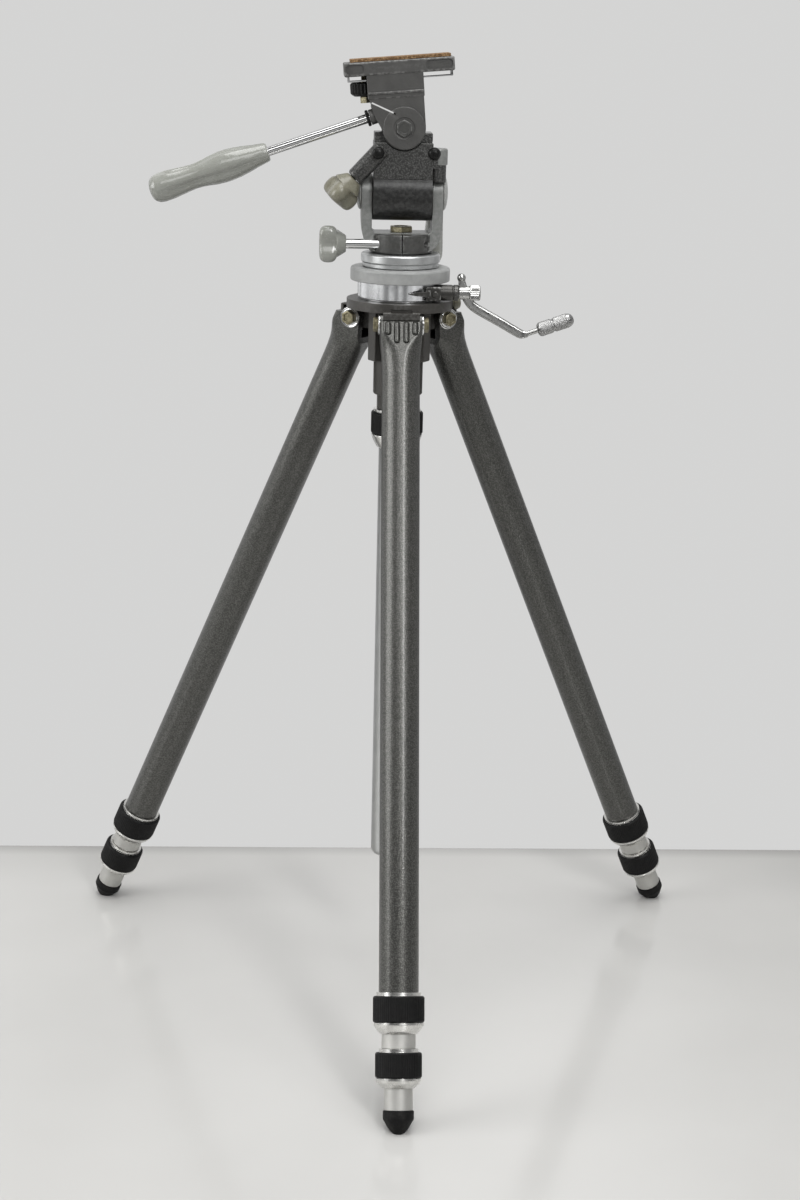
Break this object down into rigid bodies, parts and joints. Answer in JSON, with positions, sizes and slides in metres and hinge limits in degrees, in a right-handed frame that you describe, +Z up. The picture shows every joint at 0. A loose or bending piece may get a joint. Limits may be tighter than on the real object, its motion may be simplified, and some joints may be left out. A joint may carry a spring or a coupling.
{
  "type": "tripod with three-way head",
  "caption": "Aluminium three-leg stand with twist-lock telescopic legs, a geared centre column with side crank, and a pan, roll and tilt head with a cork camera platform.",
  "frame": {"origin": "centre of the bounding box in plan, on the floor under the three feet", "axes": "+Z up the centre column; -Y towards the front leg; +X to the crank side, so the main handle points to -X"},
  "size_m": [0.5664, 0.494, 0.8223],
  "materials": {
    "hammertone": "dark grey hammered enamel",
    "head_casting": "matte grey enamel on a casting",
    "dark_casting": "near-black satin enamel, hammered above",
    "crown_casting": "dark brown-grey enamel",
    "light_casting": "light grey enamel",
    "turned_alloy": "turned and brushed",
    "tube_alloy": "satin drawn tube",
    "chrome": "bright plated",
    "olive_brass": "dull and aged",
    "black_rubber": "ribbed matte",
    "black_plastic": "ribbed",
    "grey_plastic": "moulded gloss",
    "aged_plastic": "moulded, yellowed with age",
    "cork": "bare cork sheet",
    "steel": "plated steel, worn"
  },
  "bodies": {
    "spider": {"crown": "crown_casting", "gear_housing": "turned_alloy", "crank_bearing": "dark_casting", "hinge_bolt_front": "steel", "hinge_bolt_right": "steel", "hinge_bolt_left": "steel"},
    "leg_front": {"leg_head_front": "hammertone", "upper_tube_front": "hammertone"},
    "upper_collar_front": {"upper_lock_front": "turned_alloy", "upper_grip_front": "black_rubber"},
    "mid_section_front": {"middle_tube_front": "tube_alloy"},
    "lower_collar_front": {"lower_lock_front": "turned_alloy", "lower_grip_front": "black_rubber"},
    "low_section_front": {"lower_tube_front": "tube_alloy", "foot_front": "black_rubber"},
    "leg_right": {"leg_head_right": "hammertone", "upper_tube_right": "hammertone"},
    "upper_collar_right": {"upper_lock_right": "turned_alloy", "upper_grip_right": "black_rubber"},
    "mid_section_right": {"middle_tube_right": "tube_alloy"},
    "lower_collar_right": {"lower_lock_right": "turned_alloy", "lower_grip_right": "black_rubber"},
    "low_section_right": {"lower_tube_right": "tube_alloy", "foot_right": "black_rubber"},
    "leg_left": {"leg_head_left": "hammertone", "upper_tube_left": "hammertone"},
    "upper_collar_left": {"upper_lock_left": "turned_alloy", "upper_grip_left": "black_rubber"},
    "mid_section_left": {"middle_tube_left": "tube_alloy"},
    "lower_collar_left": {"lower_lock_left": "turned_alloy", "lower_grip_left": "black_rubber"},
    "low_section_left": {"lower_tube_left": "tube_alloy", "foot_left": "black_rubber"},
    "crank": {"crank_pinion": "steel", "crank_arm": "chrome"},
    "crank_handle": {"crank_grip": "chrome"},
    "column": {"column_tube": "tube_alloy", "column_rack": "steel", "top_plate": "light_casting", "pan_base": "turned_alloy", "head_nut": "olive_brass"},
    "column_collar": {"column_lock": "turned_alloy", "column_grip": "black_rubber"},
    "column_brake": {"column_knob": "aged_plastic"},
    "pan_fork": {"yoke": "light_casting", "roll_axle": "light_casting"},
    "pan_brake": {"pan_lock_rod": "chrome", "pan_lock_knob": "grey_plastic"},
    "side_handle": {"side_handle_rod": "chrome", "side_handle_grip": "grey_plastic"},
    "roll_frame": {"roller": "dark_casting", "tilt_bolt": "head_casting"},
    "roll_brake": {"roll_knob": "aged_plastic"},
    "platform": {"tilt_block": "head_casting", "cork_pad": "cork", "slide_strip": "chrome"},
    "camera_fixing": {"camera_knob": "black_plastic", "camera_screw": "olive_brass"},
    "main_handle": {"handle_rod": "chrome", "handle_grip": "grey_plastic"}
  },
  "joints": [
    {"name": "fold_front", "type": "hinge", "parent": "spider", "child": "leg_front", "pos_m": [0, 0.04011, 0.6], "axis": [1, 0, 0], "range_deg": [0, 23]},
    {"name": "upper_twist_front", "type": "hinge", "parent": "leg_front", "child": "upper_collar_front", "pos_m": [0, 0.04011, 0.6], "axis": [0, -0.4226, -0.9063], "range_deg": [0, 90]},
    {"name": "upper_slide_front", "type": "slide", "parent": "leg_front", "child": "mid_section_front", "axis": [0, -0.4226, -0.9063], "range_m": [0, 0.42]},
    {"name": "lower_twist_front", "type": "hinge", "parent": "mid_section_front", "child": "lower_collar_front", "pos_m": [0, 0.04011, 0.6], "axis": [0, -0.4226, -0.9063], "range_deg": [0, 90]},
    {"name": "lower_slide_front", "type": "slide", "parent": "mid_section_front", "child": "low_section_front", "axis": [0, -0.4226, -0.9063], "range_m": [0, 0.42]},
    {"name": "fold_right", "type": "hinge", "parent": "spider", "child": "leg_right", "pos_m": [0.03291, 0.09711, 0.6], "axis": [-0.5, 0.866, 0], "range_deg": [0, 23]},
    {"name": "upper_twist_right", "type": "hinge", "parent": "leg_right", "child": "upper_collar_right", "pos_m": [0.03291, 0.09711, 0.6], "axis": [0.366, 0.2113, -0.9063], "range_deg": [0, 90]},
    {"name": "upper_slide_right", "type": "slide", "parent": "leg_right", "child": "mid_section_right", "axis": [0.366, 0.2113, -0.9063], "range_m": [0, 0.42]},
    {"name": "lower_twist_right", "type": "hinge", "parent": "mid_section_right", "child": "lower_collar_right", "pos_m": [0.03291, 0.09711, 0.6], "axis": [0.366, 0.2113, -0.9063], "range_deg": [0, 90]},
    {"name": "lower_slide_right", "type": "slide", "parent": "mid_section_right", "child": "low_section_right", "axis": [0.366, 0.2113, -0.9063], "range_m": [0, 0.42]},
    {"name": "fold_left", "type": "hinge", "parent": "spider", "child": "leg_left", "pos_m": [-0.03291, 0.09711, 0.6], "axis": [-0.5, -0.866, 0], "range_deg": [0, 23]},
    {"name": "upper_twist_left", "type": "hinge", "parent": "leg_left", "child": "upper_collar_left", "pos_m": [-0.03291, 0.09711, 0.6], "axis": [-0.366, 0.2113, -0.9063], "range_deg": [0, 90]},
    {"name": "upper_slide_left", "type": "slide", "parent": "leg_left", "child": "mid_section_left", "axis": [-0.366, 0.2113, -0.9063], "range_m": [0, 0.42]},
    {"name": "lower_twist_left", "type": "hinge", "parent": "mid_section_left", "child": "lower_collar_left", "pos_m": [-0.03291, 0.09711, 0.6], "axis": [-0.366, 0.2113, -0.9063], "range_deg": [0, 90]},
    {"name": "lower_slide_left", "type": "slide", "parent": "mid_section_left", "child": "low_section_left", "axis": [-0.366, 0.2113, -0.9063], "range_m": [0, 0.42]},
    {"name": "column_rise", "type": "slide", "parent": "spider", "child": "column", "axis": [0, 0, 1], "range_m": [0, 0.36]},
    {"name": "crank_turn", "type": "hinge", "parent": "spider", "child": "crank", "pos_m": [0.055, 0.05806, 0.6253], "axis": [1, 0, 0], "range_deg": [0, 3440]},
    {"name": "crank_grip_spin", "type": "hinge", "parent": "crank", "child": "crank_handle", "pos_m": [0.1065, 0.05806, 0.5906], "axis": [0.9426, 0, 0.3338], "continuous": true},
    {"name": "column_collar_twist", "type": "hinge", "parent": "spider", "child": "column_collar", "pos_m": [0, 0.07811, 0.505], "axis": [0, 0, 1], "range_deg": [0, 90]},
    {"name": "column_brake_turn", "type": "hinge", "parent": "spider", "child": "column_brake", "pos_m": [0.048, 0.08111, 0.6136], "axis": [1, 0, 0], "range_deg": [0, 180]},
    {"name": "pan", "type": "hinge", "parent": "column", "child": "pan_fork", "pos_m": [0, 0.07811, 0.6565], "axis": [0, 0, 1], "continuous": true},
    {"name": "pan_brake_turn", "type": "hinge", "parent": "pan_fork", "child": "pan_brake", "pos_m": [-0.04, 0.06311, 0.6646], "axis": [-1, 0, 0], "range_deg": [0, 180]},
    {"name": "side_handle_swing", "type": "hinge", "parent": "pan_fork", "child": "side_handle", "pos_m": [0.03, 0.09711, 0.7], "axis": [0, 1, 0], "range_deg": [-25, 25]},
    {"name": "roll", "type": "hinge", "parent": "pan_fork", "child": "roll_frame", "pos_m": [0, 0.07811, 0.707], "axis": [1, 0, 0], "range_deg": [-30, 20]},
    {"name": "roll_brake_turn", "type": "hinge", "parent": "roll_frame", "child": "roll_brake", "pos_m": [-0.04064, 0.06011, 0.71933], "axis": [-0.6822, 0, -0.7312], "range_deg": [0, 120]},
    {"name": "tilt", "type": "hinge", "parent": "roll_frame", "child": "platform", "pos_m": [0, 0.07811, 0.761], "axis": [0, 1, 0], "range_deg": [-8, 58]},
    {"name": "main_handle_twist", "type": "hinge", "parent": "platform", "child": "main_handle", "pos_m": [-0.0242, 0.06511, 0.7702], "axis": [-0.944, 0, -0.33], "range_deg": [0, 180]},
    {"name": "camera_screw_turn", "type": "hinge", "parent": "platform", "child": "camera_fixing", "pos_m": [-0.03246, 0.07811, 0.79129], "axis": [-0.0872, 0, 0.9962], "continuous": true}
  ],
  "couplings": [
    {"joint": "crank_turn", "follows": "column_rise", "rad_per_m": 166.67}
  ]
}
